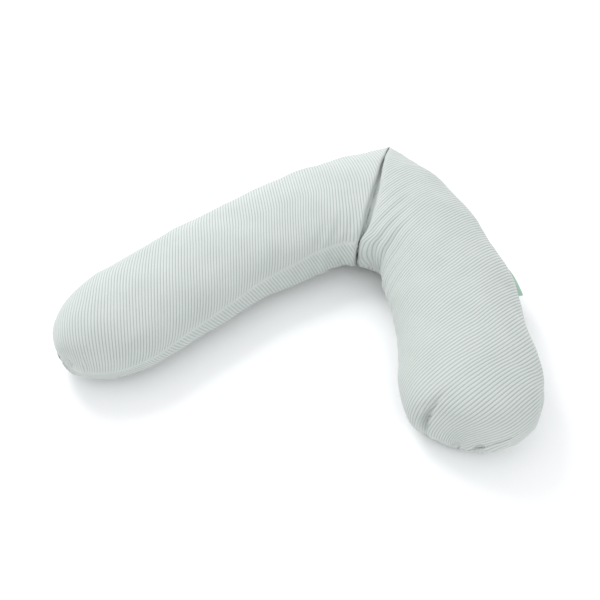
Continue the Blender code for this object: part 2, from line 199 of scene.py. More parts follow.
def waves(points, wavelength, seed, count=9):
    """Smooth unevenness of about -1 to 1, the same at each run."""
    rng = np.random.default_rng(seed)
    total = np.zeros(points.shape[:-1])
    for _ in range(count):
        direction = rng.normal(size=points.shape[-1])
        direction /= np.linalg.norm(direction)
        turn = 2 * math.pi / (wavelength * rng.uniform(0.75, 1.5))
        total += np.cos(points @ direction * turn + rng.uniform(0, 2 * math.pi))
    return total / math.sqrt(count)


def bump(x, centre, width):
    return np.exp(-(((x - centre) / width) ** 2))


FOLD_ACROSS = 0.165 / math.sin(FOLD_ANGLE)  # half the fold's length
LIP_RADIUS = {LEFT: 0.007, RIGHT: 0.014}  # of the edges that roll over into the valley
VALLEY_WALL = 0.008
DRAWN_FROM = 0.12  # how far off the fold the valley's cloth is taken from
VALLEY_REACH = 0.006
ZIP_MARGIN, ZIP_RAMP = 0.04, 0.03  # how far past a zip the sides keep to their plain outline

# where the sides are fuller or slimmer than the plain outline: how much, at which station, over what length
TRIMS = {
    (LEFT, 1): ((-0.006, -0.08, 0.06), (0.010, 0.29, 0.09), (-0.012, 0.72, 0.18)),
    (LEFT, -1): ((-0.014, 0.205, 0.05), (0.011, 0.35, 0.07), (0.007, 0.60, 0.14)),
    (RIGHT, 1): ((0.017, 0.065, 0.07), (-0.006, 0.345, 0.04), (-0.017, 0.53, 0.08), (0.007, -0.11, 0.04)),
    (RIGHT, -1): ((-0.036, 0.245, 0.06), (0.004, 0.55, 0.12)),
}


def seam_lift(arm, s, side):
    """How far round the section the side seam lies above the widest line."""
    if arm is LEFT:
        lift = math.radians(27) * np.clip((0.90 - s) / 0.62, 0, 1)
    else:
        lift = math.radians(-12) * (1 - smooth((s - 0.66) / 0.15))
    return np.where(side < 0, lift, 0.0)


def tilt_cap(arm, reach, across, up):
    """Turns a round end's unit shape downwards, so that its seam lies lower than its tip did."""
    tilt = CAP_TILT[arm] * reach**1.4
    x = reach * np.cos(tilt) + up * np.sin(tilt)
    z = up * np.cos(tilt) - reach * np.sin(tilt)
    x = np.maximum(x, 0)
    power = arm.cap_power
    low, high = np.zeros_like(x), np.minimum(3.0, 0.99999 / np.maximum(x, 1e-9))
    for _ in range(30):
        k = (low + high) / 2
        share = (1 - (k * x) ** power) ** (1 / power)
        outside = (k * across / share) ** 2 + (k * z) ** 2 / share > 1
        low, high = np.where(outside, low, k), np.where(outside, k, high)
    return k * x, k * across, k * z


def valley(arm, angle, inset):
    """The fold's valley round the section: how deep, how far off the arm's edge stands, where it ends."""
    outer = 0.003 + 0.022 * smooth((angle - 0.25) / 0.9)
    inner = 0.025 - 0.003 * smooth((angle - 1.5) / 0.5)
    depth = np.where(angle > math.pi / 2, inner, outer) + inset
    gap = 0.003 * smooth(angle / 0.6)
    gap = gap + 0.015 * smooth((angle - 0.9) / 1.1) * (1 - smooth((angle - 2.35) / 0.30))
    stands = (gap if arm is RIGHT else -0.001 * smooth(angle / 0.6)) + 0.8 * inset
    return depth, stands, arm.sign * 0.4 * gap + 0.8 * inset


def tuck(arm, points, angle, up_sign, inset):
    """Draws the cover in at the fold: each arm's edge rolls over into a valley between them."""
    d = arm.sign * points[..., 0]
    depth, stands, end = valley(arm, angle, inset)
    roll = np.minimum(LIP_RADIUS[arm], 0.8 * depth)
    quarter = roll * math.pi / 2
    start = stands + roll
    pulled = d - (quarter + VALLEY_WALL - start) * smooth(1 - d / DRAWN_FROM)
    p = start - pulled
    turn = np.clip(p / roll, 0, math.pi / 2)
    q = np.clip((p - quarter) / VALLEY_WALL, 0, 1)
    x = np.where(p > 0, start - roll * np.sin(turn), pulled)
    x = x + (end - stands) * smooth((q - 0.55) / 0.45)
    drop = roll * (1 - np.cos(turn)) + (depth - roll) * smooth(q / 0.7)
    # the corner on the outer side is drawn thin
    drop = drop + 0.013 * bump(angle, 0.5, 0.6) * bump(d, 0, 0.075)
    moved = points.copy()
    moved[..., 0] = arm.sign * x
    ny, nz = np.cos(angle) * HALF_HEIGHT, np.sin(angle) * FOLD_ACROSS * up_sign
    norm = np.hypot(ny, nz)
    moved[..., 1] -= drop * ny / norm
    moved[..., 2] -= drop * nz / norm
    return moved


def trim(arm, s, side, theta, beyond, inset=0.0):
    """How much fuller the soft pillow is at its sides; beyond is the distance past the fold."""
    outer, inner = (sum(much * bump(s, at, over) for much, at, over in TRIMS[arm, way]) for way in (1, -1))
    if arm is LEFT:
        by_zip = beside(s, ZIP_START, ZIP_LENGTH, ZIP_MARGIN, ZIP_RAMP)
        outer = outer * (1 - by_zip * (1 - smooth(np.abs(theta) / 0.6)))
        if inset:  # the bag keeps to its zip
            by_zip = beside(s, BAG_ZIP_START, BAG_ZIP_LENGTH, ZIP_MARGIN, ZIP_RAMP)
            inner = inner * (1 - by_zip * (1 - smooth((np.abs(theta) - 0.15) / 0.4)))
    return np.where(side > 0, outer * smooth(beyond / 0.10), inner * smooth(beyond / 0.05))


Soft = namedtuple("Soft", "points angle s past reach around up")


def soft_surface(arm, s, side, theta, inset=0.0, floor=0.0):
    """Points of the surface in fold coordinates, theta above the widest line, before gathers and waves."""
    c, up = side * np.cos(theta), np.sin(theta)
    angle = np.arccos(np.clip(c, -1, 1))
    fold = fold_station(side, c)
    past = s < fold
    s = np.maximum(s, fold)
    cap_start = arm.length - arm.cap_length
    end = cap_share(arm, s)
    reach = np.clip((s - cap_start) / arm.cap_length, 0, 1)
    x, y, z = tilt_cap(arm, reach, end * c, np.sqrt(end) * up)
    in_cap = reach > 0
    station = np.where(in_cap, cap_start + (arm.cap_length - inset) * x, s)
    across = np.where(in_cap, y, c)
    rise = np.where(in_cap, z, up)
    around = np.arctan2(y, x + 1e-6)
    width = half_width(arm, s, side) + trim(arm, s, side, theta, s - fold, inset) - inset
    if arm is RIGHT:  # its end is fuller at the inner corner
        corner = 0.022 * bump(around, -0.62, 0.30) * smooth(reach / 0.2) * np.cos(theta)
        width = width + corner * 0.6
        station = station + corner * 0.9
    xy = plan(arm, station, width * across)
    height = np.maximum(SEAM_HEIGHT + (HALF_HEIGHT - inset) * rise, floor)
    points = np.concatenate([xy, height[..., None]], -1)
    points = tuck(arm, points, angle, np.where(up < 0, -1, 1), inset)
    return Soft(points, angle, s, past, reach, around, np.sqrt(end))


GATHERS = {
    # place round the end, width of the soft and of the sharp side, how far up, how deep
    LEFT: (
        (-1.05, 0.10, 0.05, 0.60, 0.004),
        (-0.40, 0.12, 0.04, 0.70, 0.007),
        (-0.12, 0.09, 0.04, 0.55, 0.005),
        (0.20, 0.10, 0.05, 0.50, 0.004),
        (0.68, 0.14, 0.06, 0.60, 0.006),
    ),
    RIGHT: (
        (-0.92, 0.12, 0.06, 0.50, 0.003),
        (-0.46, 0.19, 0.030, 1.35, 0.028),
        (0.26, 0.12, 0.04, 0.60, 0.006),
        (0.62, 0.10, 0.05, 0.40, 0.003),
        (1.25, 0.12, 0.05, 0.50, 0.006),
    ),
}


def soft_dents(arm, soft, theta, lift):
    """How far each point lies out of (or in from) the plain shape, along its normal."""
    points, angle, s, reach = soft.points, soft.angle, soft.s, soft.reach
    top = theta > lift
    gap = np.abs(theta - lift)
    out = 0.0016 * waves(points, 0.16, 3) + 0.0007 * waves(points, 0.06, 4)
    d = arm.sign * points[..., 0]
    # gathers along the seams
    near_seam = smooth(1 - gap / 0.55)
    on_top, below = (waves(points[..., :2], 0.045, seed) for seed in (5, 6))
    out += 0.0009 * near_seam * np.where(top, on_top, below)
    across_ribs = -points[..., 0] * math.sin(arm.rib_angle) + points[..., 1] * math.cos(arm.rib_angle)
    if arm is RIGHT:
        # soft folds along the ribs beside the fold, on the inner side
        inner = smooth((angle - 1.1) / 1.2)
        where = bump(d, 0.075, 0.055) * inner * np.where(top, 1.0, 0.5)
        out += where * 0.0022 * np.sin(2 * math.pi * across_ribs / 0.030 + 0.6)
        # a shallow band across the arm
        out -= 0.0030 * bump(s, 0.43 + 0.05 * np.cos(angle), 0.035) * smooth((gap - 0.2) / 0.6) * top
    else:
        where = bump(d, 0.060, 0.050) * smooth((angle - 1.9) / 0.8)
        out += where * 0.0016 * np.sin(2 * math.pi * d / 0.034)
    # gathers round the ends: many small ones, and a few deep ones with one sharp side each
    around = soft.around
    above = np.arcsin(np.clip(soft.up * np.sin(gap), 0, 1))
    in_end = smooth(reach / 0.15) * smooth((1 - reach) / 0.012)
    seed = 0.7 if arm is LEFT else 2.1
    fine = np.sin(around * 13 + seed + 1.3 * np.sin(3 * around + seed))
    out += in_end * smooth(1 - above / 0.7) * 0.0014 * fine
    for place, soft_side, sharp_side, up, deep in GATHERS[arm]:
        near = np.clip(1 - above / up, 0, 1)
        x = (around - place) / (0.25 + 0.75 * near)
        shape = np.where(x < 0, smooth(1 + x / (2 * soft_side)) ** 1.5, bump(x, 0, sharp_side))
        rise = 0.4 + 0.6 * smooth(above / (0.35 * up))
        out -= deep * smooth(near * 1.3) * rise * shape * in_end * np.where(top, 1.0, np.exp(-above / 0.15))
    # the seam itself hardly moves
    return out * (0.15 + 0.85 * smooth(gap * 0.12 / 0.025))


# ---------------------------------------------------------------- the cover's panels, line by line


def rib_lines(arm):
    """The lines' points on the flat panel: place across the rib, station, offset from the middle, side."""
    s_table, flat_table = crown_table(arm)
    flat_length = flat_table[-1]
    flat_radius = (flat_length - STRAIGHT) / arm.flat_turn
    along = np.array([math.cos(arm.rib_angle), math.sin(arm.rib_angle)])
    across = np.array([-along[1], along[0]])

    def inside(u, v):
        """How far inside the panel's outline a flat point is; the fold doesn't count as an edge."""
        points = u[..., None] * across + v[..., None] * along
        s_flat, t = unplan(arm, points, flat_radius)
        s = np.interp(s_flat, flat_table, s_table, left=0, right=arm.length)
        s = np.where(s_flat < 0, s_flat, s)
        side = np.where(t > 0, 1, -1)
        edge = panel_half(arm, s, side) - ZIP_OPENING * zip_share(arm, s, side)
        return np.minimum(np.minimum(edge - np.abs(t), flat_length - s_flat), s + PAST_FOLD), s, t, side

    # the panel's extent across the ribs, from a coarse scan
    scan_u = np.linspace(-FLAT_REACH_ACROSS, FLAT_REACH_ACROSS, 1121)
    scan_v = np.linspace(-FLAT_REACH_ALONG, FLAT_REACH_ALONG, 521)
    us, vs = np.meshgrid(scan_u, scan_v, indexing="ij")
    held = (inside(us, vs)[0] > 0).any(1)
    lowest, highest = us[held, 0].min(), us[held, 0].max()
    first, last = math.floor(lowest / RIB_PITCH) - 1, math.ceil(highest / RIB_PITCH) + 1
    u = np.array([(k + p) * RIB_PITCH for k in range(first, last) for p in RIB_PHASES])
    phase = np.array([p for _ in range(first, last) for p in RIB_PHASES])

    # each line's two ends, from a finer scan and then by halving
    v = np.linspace(-FLAT_REACH_ALONG, FLAT_REACH_ALONG, 2601)
    value = inside(*np.meshgrid(u, v, indexing="ij"))[0]
    held = (value > 0).sum(1) > 3
    u, phase, value = u[held], phase[held], value[held]
    start = v[(value > 0).argmax(1)]
    stop = v[len(v) - 1 - (value > 0)[:, ::-1].argmax(1)]
    step = v[1] - v[0]
    ends = []
    for near, sign in ((start, -1), (stop, 1)):
        low, high = near, near + sign * step
        for _ in range(24):
            middle = (low + high) / 2
            good = inside(u, middle)[0] > 0
            low, high = np.where(good, middle, low), np.where(good, high, middle)
        ends.append(low)
    share = np.linspace(0, 1, LINE_POINTS)
    share = share - 0.055 * np.sin(2 * math.pi * share)  # closer together near the seams
    grid_v = ends[0][:, None] * (1 - share) + ends[1][:, None] * share
    grid_u = np.repeat(u[:, None], LINE_POINTS, 1)
    _, s, t, side = inside(grid_u, grid_v)
    return np.repeat(phase[:, None], LINE_POINTS, 1), s, t, side


def grid_normals(points, outwards):
    along = np.gradient(points, axis=0)
    across = np.gradient(points, axis=1)
    normal = np.cross(along, across)
    size = np.linalg.norm(normal, axis=-1, keepdims=True)
    normal = np.where(size > 1e-12, normal / np.maximum(size, 1e-12), outwards)
    flip = np.sign((normal * outwards).sum(-1, keepdims=True))
    return normal * np.where(flip == 0, 1, flip)


def outwards_from(arm, soft):
    """Unit vectors from the pillow's middle line to each point."""
    middle = plan(arm, soft.s, np.zeros_like(soft.s))
    middle = np.concatenate([middle, np.full_like(middle[..., :1], SEAM_HEIGHT)], -1)
    away = soft.points - middle
    return away / np.maximum(np.linalg.norm(away, axis=-1, keepdims=True), 1e-9)


def panel_grid(arm, lines, top):
    """One arm's half of a panel: points, the ribs' height, and which points lie past the fold."""
    phase, s, t, side = lines
    whole = panel_half(arm, s, side)
    share = np.clip(np.abs(t) / np.maximum(whole, 1e-6), 0, 1)
    phi = section_angle(share)
    lift = seam_lift(arm, s, side)
    turn = phi / (math.pi / 2)
    theta = lift + turn * (math.pi / 2 - lift) if top else lift - turn * (math.pi / 2 + lift)
    soft = soft_surface(arm, s, side, theta)
    away = outwards_from(arm, soft)
    dent = soft_dents(arm, soft, theta, lift)
    zipped = zip_share(arm, soft.s, side)
    edge_gap = (1 - share) * whole - ZIP_OPENING * zipped
    groove = np.clip(1 - edge_gap / (0.006 - 0.002 * zipped), 0, 1) ** 2
    dent -= groove * (0.0014 + 0.0009 * zipped)
    if not top:
        dent *= smooth(soft.points[..., 2] / 0.012)
    points = soft.points + grid_normals(soft.points, away) * dent[..., None]
    rib = np.abs(np.sin(math.pi * phase)) ** 0.55
    edge = VALLEY_REACH + valley(arm, soft.angle, 0.0)[1]
    in_valley = smooth((edge - arm.sign * soft.points[..., 0]) / 0.008)
    fade = smooth(edge_gap / 0.004) * (1 - 0.85 * in_valley)
    height = RIB_HEIGHT * (1 + 0.12 * waves(points, 0.05, 8)) * fade * (rib - 1)
    points = points + grid_normals(points, away) * height[..., None]
    points[..., 2] = np.maximum(points[..., 2], 0.0004 * (1 - rib))
    return points, 1 - (1 - rib) * fade, soft.past


def fold_shift():
    """From fold coordinates to the model's: the CAD pieces of both arms touch the same outline."""
    low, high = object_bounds()
    left, right = outline(LEFT), outline(RIGHT)
    everything = np.concatenate([left, right])
    return np.array([low.x - everything[:, 0].min(), high.y - everything[:, 1].max(), 0.0])


def outline(arm):
    """The seam's line in fold coordinates."""
    s = np.linspace(0, arm.length, 4000)
    rows = []
    for side in (1, -1):
        offset = side * half_width(arm, s, side) * cap_share(arm, s)
        rows.append(plan(arm, s, offset))
    start = plan(arm, np.array([-FOLD_WIDTH[1] / math.tan(FOLD_ANGLE)]), np.array([FOLD_WIDTH[1]]))
    points = np.concatenate([*rows, start])
    return points[arm.sign * points[:, 0] > -1e-6]


SHIFT = fold_shift()


def mesh_object(name, points, faces, attributes=()):
    mesh = bpy.data.meshes.new(name)
    mesh.vertices.add(len(points))
    mesh.vertices.foreach_set("co", points.astype(np.float32).ravel())
    mesh.loops.add(faces.size)
    mesh.loops.foreach_set("vertex_index", faces.astype(np.int32).ravel())
    mesh.polygons.add(len(faces))
    mesh.polygons.foreach_set("loop_start", np.arange(len(faces), dtype=np.int32) * faces.shape[1])
    mesh.polygons.foreach_set("use_smooth", np.ones(len(faces), bool))
    mesh.update(calc_edges=True)
    mesh.validate()
    for label, values in attributes:
        layer = mesh.attributes.new(label, "FLOAT", "POINT")
        layer.data.foreach_set("value", values.astype(np.float32).ravel())
    obj = bpy.data.objects.new(name, mesh)
    bpy.context.scene.collection.objects.link(obj)
    return obj


def plain_object(name, points, faces):
    """A smooth-shaded object from lists of points and faces, which may have three or four corners."""
    mesh = bpy.data.meshes.new(name)
    mesh.from_pydata(points.tolist(), [], faces)
    mesh.validate()
    mesh.polygons.foreach_set("use_smooth", np.ones(len(mesh.polygons), bool))
    obj = bpy.data.objects.new(name, mesh)
    bpy.context.scene.collection.objects.link(obj)
    return obj


def grid_faces(shape):
    index = np.arange(shape[0] * shape[1]).reshape(shape)
    return np.stack([index[:-1, :-1], index[1:, :-1], index[1:, 1:], index[:-1, 1:]], -1).reshape(-1, 4)


def tube_faces(rows, around):
    """Quads between closed rings, and the tables of each ring's points and of their next ones."""
    index = np.arange(rows * around).reshape(rows, around)
    after = np.roll(index, -1, axis=1)
    return np.stack([index[:-1], after[:-1], after[1:], index[1:]], -1).reshape(-1, 4), index, after


def make_panel(name, top):
    """A whole panel, left and right halves, as one object."""
    all_points, all_faces, all_ribs = [], [], []
    count = 0
    for arm in ARMS:
        points, rib, past = panel_grid(arm, LINES[arm], top)
        faces = grid_faces(points.shape[:2])
        faces = faces[~past.ravel()[faces].all(1)]
        flat = points.reshape(-1, 3)
        a, b, c = (flat[faces[:, k]] for k in (0, 1, 2))
        if (np.cross(b - a, c - a)[:, 2].sum() > 0) != top:
            faces = faces[:, ::-1]
        used = np.unique(faces)
        renumber = np.zeros(len(flat), int)
        renumber[used] = np.arange(len(used))
        all_points.append(flat[used] + SHIFT)
        all_ribs.append(rib.ravel()[used])
        all_faces.append(renumber[faces] + count)
        count += len(used)
    return mesh_object(
        name, np.concatenate(all_points), np.concatenate(all_faces), [("rib", np.concatenate(all_ribs))]
    )


LINES = {arm: rib_lines(arm) for arm in ARMS}
cover_top = make_panel("cover_top", True)
cover_bottom = make_panel("cover_bottom", False)


def bends(obj):
    """Bakes the piece's placement into its points."""
    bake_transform(obj)


for piece in (cover_top, cover_bottom):
    bends(piece)
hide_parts("cover_top_left", "cover_top_fold", "cover_top_right")
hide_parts("cover_bottom_left", "cover_bottom_fold", "cover_bottom_right")

# ---------------------------------------------------------------- the inner bag and the beads

AROUND_POINTS = 128
RING_SPACING = 0.012
BAG_INSET, BAG_FLOOR = 0.0048, 0.0019  # how far inside the cover, and how high its underside lies
BEAD_INSET, BEAD_FLOOR, BEAD_LUMPS = 0.0075, 0.0026, 0.0002


def layer_rings(arm, inset, floor):
    """Rings round one arm of an inner layer, from the fold to the tip."""
    flat = arm.length - arm.cap_length
    near = np.linspace(0, 0.06, 16)
    body = np.arange(near[-1] + RING_SPACING, flat, RING_SPACING)
    cap = flat + arm.cap_length * np.sin(np.linspace(0, math.pi / 2, 26))[:-1]
    rows = np.concatenate([near, body, cap])
    turn = np.linspace(0, 2 * math.pi, AROUND_POINTS, endpoint=False)
    s, turn = np.meshgrid(rows, turn, indexing="ij")
    side = np.where(np.cos(turn) >= 0, 1, -1)
    theta = np.arcsin(np.sin(turn))
    s = s + fold_station(side, np.cos(turn)) * (1 - smooth(s / 0.45))
    soft = soft_surface(arm, s, side, theta, inset, floor)
    dent = soft_dents(arm, soft, theta, seam_lift(arm, s, side))
    dent = dent * smooth((soft.points[..., 2] - floor) / 0.012)
    return soft.points + grid_normals(soft.points, outwards_from(arm, soft)) * dent[..., None]


def make_layer(name, inset, floor, lumps=0.0):
    """A closed inner layer from the left tip to the right tip."""
    left, right = (layer_rings(arm, inset, floor) for arm in ARMS)
    rings = np.concatenate([left[::-1], right])
    if lumps:
        rings[..., 2] += lumps * (waves(rings, 0.007, 12) - 1.5) * smooth((rings[..., 2] - floor) / 0.01)
    quads, index, after = tube_faces(len(rings), AROUND_POINTS)
    tips = rings[[0, -1]].mean(1)
    points = np.concatenate([rings.reshape(-1, 3), tips]) + SHIFT
    first_tip, last_tip = index.size, index.size + 1
    first = np.stack([after[0], index[0], np.full(AROUND_POINTS, first_tip)], -1)
    last = np.stack([index[-1], after[-1], np.full(AROUND_POINTS, last_tip)], -1)
    obj = plain_object(name, points, quads.tolist() + first.tolist() + last.tolist())
    bends(obj)
    return obj


REGIONS = ("left", "fold", "right")
bag = make_layer("inner_bag", BAG_INSET, BAG_FLOOR)
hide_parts(*[f"inner_bag_{region}" for region in REGIONS])
beads = make_layer("bead_fill", BEAD_INSET, BEAD_FLOOR, BEAD_LUMPS)
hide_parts(*[f"bead_fill_{region}" for region in REGIONS])

# ---------------------------------------------------------------- zips and labels

COIL_PITCH = 0.0015
ZIP_COIL_DEPTH, ZIP_COIL_WIRE = 0.0009, 0.0011
BAG_COIL_DEPTH, BAG_COIL_WIRE = 0.00445, 0.00085


def seam_points(arm, side, s, depth, height):
    """Points beside a side seam: depth inwards from the seam's line, height above it."""
    xy = plan(arm, s, side * (arm.half_width - depth))
    return np.concatenate([xy, (SEAM_HEIGHT + height)[..., None]], -1) + SHIFT


def make_coil(name, side, start, length, depth, wire, sign):
    """One side of a zip: a nylon coil along a seam of the left arm."""
    turn_points, sides = 10, 5
    count = int(length / COIL_PITCH * turn_points)
    k = np.arange(count)
    s = start + 0.001 + (length - 0.002) * k / (count - 1)
    turn = 2 * math.pi * k / turn_points + (math.pi if sign < 0 else 0)
    thick = wire * 0.36
    swing = wire - thick
    centre_height = sign * (wire + 0.0001) + swing * 1.05 * np.sin(turn)
    line = seam_points(LEFT, side, s, depth + swing * 0.95 * np.cos(turn), centre_height)
    ahead = np.gradient(line, axis=0)
    ahead /= np.linalg.norm(ahead, axis=1, keepdims=True)
    up = np.array([0.0, 0.0, 1.0])
    out = np.cross(ahead, up + 0.3)
    out /= np.linalg.norm(out, axis=1, keepdims=True)
    other = np.cross(ahead, out)
    ring = 2 * math.pi * np.arange(sides) / sides
    points = line[:, None] + thick * (
        np.cos(ring)[None, :, None] * out[:, None] + np.sin(ring)[None, :, None] * other[:, None]
    )
    obj = mesh_object(name, points.reshape(-1, 3), tube_faces(count, sides)[0])
    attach(obj, "left_arm")
    return obj


coils = []
for word, sign in (("upper", 1), ("lower", -1)):
    coil = make_coil(f"coil_{word}", 1, ZIP_START, ZIP_LENGTH, ZIP_COIL_DEPTH, ZIP_COIL_WIRE, sign)
    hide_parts(f"zip_coil_{word}")
    coils.append(coil)
    coil = make_coil(
        f"bag_coil_{word}", -1, BAG_ZIP_START, BAG_ZIP_LENGTH, BAG_COIL_DEPTH, BAG_COIL_WIRE, sign
    )
    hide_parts(f"bag_zip_coil_{word}")
    coils.append(coil)


def closed_strip(name, rows):
    """A closed solid from a grid of closed cross-sections, with both ends capped."""
    count, sides = rows.shape[:2]
    quads = tube_faces(count, sides)[0].tolist()
    for first in (0, (count - 1) * sides):
        for j in range(sides // 2 - 1):
            quad = [first + j, first + j + 1, first + sides - 2 - j, first + sides - 1 - j]
            quads.append(quad if first else quad[::-1])
    return plain_object(name, rows.reshape(-1, 3), quads)


def make_side_label():
    """A ribbon folded in two and sewn into the right arm's outer seam, blank."""
    gap, thickness = 0.00035, 0.00022
    turn = np.linspace(-math.pi / 2, math.pi / 2, 9)
    reach = LABEL_REACH - gap - thickness
    straight = np.linspace(-0.002, reach, 9)[:-1]
    middle = gap + thickness / 2

    def run(half_gap):
        low = [(o, -half_gap) for o in straight]
        bend = [(reach + half_gap * math.cos(a), half_gap * math.sin(a)) for a in turn]
        return low + bend + [(o, half_gap) for o in straight[::-1]]

    outer, inner = run(middle + thickness / 2), run(middle - thickness / 2)
    profile = np.array(outer + inner[::-1])
    s = np.linspace(LABEL_START + 0.0005, LABEL_START + LABEL_LENGTH - 0.0005, 60)
    stations, outs = np.meshgrid(s, profile[:, 0], indexing="ij")
    heights = np.repeat(profile[None, :, 1], len(s), 0)
    share = np.clip(outs / LABEL_REACH, 0, 1)
    along = (stations - LABEL_START) / LABEL_LENGTH
    heights = heights + share**2 * (0.0012 * np.sin(2 * math.pi * along * 1.2 + 0.5) - 0.0008)
    outs = outs - 0.0003 * np.sin(9 * along) * share
    slim = trim(RIGHT, stations, 1, 0.0, stations)
    return closed_strip("side_label_ribbon", seam_points(RIGHT, 1, stations, -outs - slim, heights))


def make_care_label():
    """A small blank leaf sewn into the same seam, inside the cover."""
    drop, thickness, points_down = 0.0236, 0.00025, 12
    heights = np.linspace(0, 1, points_down)
    # how far inwards the section goes, for each length downwards, over its first tenth of a half turn
    lean = RIGHT.half_width * (1 - math.cos(math.pi / 10)) / (HALF_HEIGHT * math.sin(math.pi / 10))
    s = np.linspace(CARE_START + 0.0003, CARE_START + CARE_LENGTH - 0.0003, 18)
    down = -0.0004 - drop * np.concatenate([heights, heights[::-1]])
    depth = 0.0026 + np.abs(down) * lean
    depth = depth + np.concatenate([np.zeros(points_down), np.full(points_down, thickness)])
    stations, downs = np.meshgrid(s, down, indexing="ij")
    depths = np.repeat(depth[None], len(s), 0)
    slim = trim(RIGHT, stations, 1, 0.0, stations)
    return closed_strip("care_label_leaf", seam_points(RIGHT, 1, stations, depths - slim, downs))


side_label = make_side_label()
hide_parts("side_label")
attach(side_label, "right_arm")
care_label = make_care_label()
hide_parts("care_label")
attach(care_label, "right_arm")


# ---------------------------------------------------------------- materials


class Nodes:
    """A material's node tree, with short ways to add and join nodes."""

    def __init__(self, name):
        self.material = bpy.data.materials.new(name)
        self.material.use_nodes = True
        self.tree = self.material.node_tree
        self.shader = self.tree.nodes["Principled BSDF"]

    def add(self, kind, **values):
        node = self.tree.nodes.new(kind)
        for key, value in values.items():
            setattr(node, key, value)
        return node

    def link(self, a, b):
        self.tree.links.new(a, b)

    def set(self, **values):
        for key, value in values.items():
            self.shader.inputs[key.replace("_", " ")].default_value = value

    def place(self):
        return self.add("ShaderNodeTexCoord").outputs["Object"]

    def noise(self, scale, detail, rough=0.5):
        node = self.add("ShaderNodeTexNoise")
        node.inputs["Scale"].default_value = scale
        node.inputs["Detail"].default_value = detail
        node.inputs["Roughness"].default_value = rough
        self.link(self.place(), node.inputs["Vector"])
        return node.outputs["Fac"]

    def ramp(self, value, stops):
        node = self.add("ShaderNodeValToRGB")
        bar = node.color_ramp.elements
        while len(bar) < len(stops):
            bar.new(0.5)
        for element, (at, colour) in zip(bar, stops):
            element.position = at
            element.color = (*colour, 1)
        self.link(value, node.inputs["Fac"])
        return node.outputs["Color"]

    def multiply(self, a, b):
        """The product of two colours, which are the mix node's inputs 6 and 7 and its output 2."""
        node = self.add("ShaderNodeMix", data_type="RGBA", blend_type="MULTIPLY")
        node.inputs["Factor"].default_value = 1.0
        self.link(a, node.inputs[6])
        self.link(b, node.inputs[7])
        return node.outputs[2]

    def bump(self, height, distance, strength):
        node = self.add("ShaderNodeBump")
        node.inputs["Distance"].default_value = distance
        node.inputs["Strength"].default_value = strength
        self.link(height, node.inputs["Height"])
        return node.outputs["Normal"]


WHITE = (1.0, 1.0, 1.0)
# the ribs' tones: painted shade in the grooves and on the flanks, the pale pile's own colour on the ridges
GROOVE_SHADE, FLANK_SHADE, RIDGE = (0.33, 0.368, 0.352), (0.515, 0.550, 0.529), (0.580, 0.612, 0.589)


def corduroy():
    """Pale pile with painted shade between the ribs: darker down the flanks, darkest in the grooves; the
    mesh says how high on a rib each point lies.
    """
    m = Nodes("corduroy")
    rib = m.add("ShaderNodeAttribute", attribute_name="rib").outputs["Fac"]
    # painted shade, set by how high on its rib each point lies
    tone = m.ramp(rib, ((0.0, GROOVE_SHADE), (0.55, FLANK_SHADE), (1.0, RIDGE)))
    cloudy = m.ramp(m.noise(9.0, 3.0), ((0.3, (0.955, 0.96, 0.96)), (0.7, WHITE)))
    tone = m.multiply(tone, cloudy)
    pile = m.noise(900.0, 3.0, rough=0.65)
    flecks = m.ramp(pile, ((0.35, (0.88, 0.89, 0.89)), (0.65, WHITE)))
    tone = m.multiply(tone, flecks)
    m.link(tone, m.shader.inputs["Base Color"])
    m.link(m.bump(pile, 0.0004, 0.6), m.shader.inputs["Normal"])
    m.set(Roughness=0.92, Sheen_Weight=0.35, Sheen_Roughness=0.45, Sheen_Tint=(0.93, 0.97, 0.95, 1))
    m.shader.inputs["Specular IOR Level"].default_value = 0.2
    return m.material


def plain(name, colour, roughness):
    m = Nodes(name)
    m.set(Base_Color=(*colour, 1), Roughness=roughness)
    return m.material


def woven(name, colour, scale, roughness=0.8, depth=0.0002, sheen=0.2):
    """Plain-woven cloth: crossed sets of threads, with a little unevenness of colour."""
    m = Nodes(name)
    heights = []
    for direction in ("X", "Y", "Z"):
        wave = m.add("ShaderNodeTexWave", wave_type="BANDS", bands_direction=direction)
        wave.inputs["Scale"].default_value = scale
        wave.inputs["Distortion"].default_value = 0.6
        m.link(m.place(), wave.inputs["Vector"])
        heights.append(wave.outputs["Fac"])
    weave = m.add("ShaderNodeMath", operation="MAXIMUM")
    m.link(heights[0], weave.inputs[0])
    m.link(heights[1], weave.inputs[1])
    total = m.add("ShaderNodeMath", operation="ADD")
    m.link(weave.outputs[0], total.inputs[0])
    m.link(heights[2], total.inputs[1])
    dark = tuple(0.90 * c for c in colour)
    tone = m.ramp(total.outputs[0], ((0.2, dark), (1.0, colour)))
    cloudy = m.ramp(m.noise(30.0, 3.0), ((0.3, (0.94, 0.94, 0.94)), (0.7, WHITE)))
    m.link(m.multiply(tone, cloudy), m.shader.inputs["Base Color"])
    m.link(m.bump(total.outputs[0], depth, 0.5), m.shader.inputs["Normal"])
    m.set(Roughness=roughness, Sheen_Weight=sheen, Sheen_Roughness=0.5)
    return m.material


def moulded(name, colour, roughness, metallic=0.0):
    """Moulded or cast trim: slight mottling, and roughness that varies with it."""
    grain = 220.0
    m = Nodes(name)
    grains = m.noise(grain, 4.0)
    darker = tuple(0.86 * c for c in colour)
    m.link(m.ramp(grains, ((0.3, darker), (0.7, colour))), m.shader.inputs["Base Color"])
    rough = m.add("ShaderNodeMapRange")
    rough.inputs["To Min"].default_value = roughness - 0.08
    rough.inputs["To Max"].default_value = roughness + 0.10
    m.link(grains, rough.inputs["Value"])
    m.link(rough.outputs["Result"], m.shader.inputs["Roughness"])
    m.link(m.bump(m.noise(grain * 6, 2.0), 0.00005, 0.3), m.shader.inputs["Normal"])
    m.set(Metallic=metallic)
    return m.material


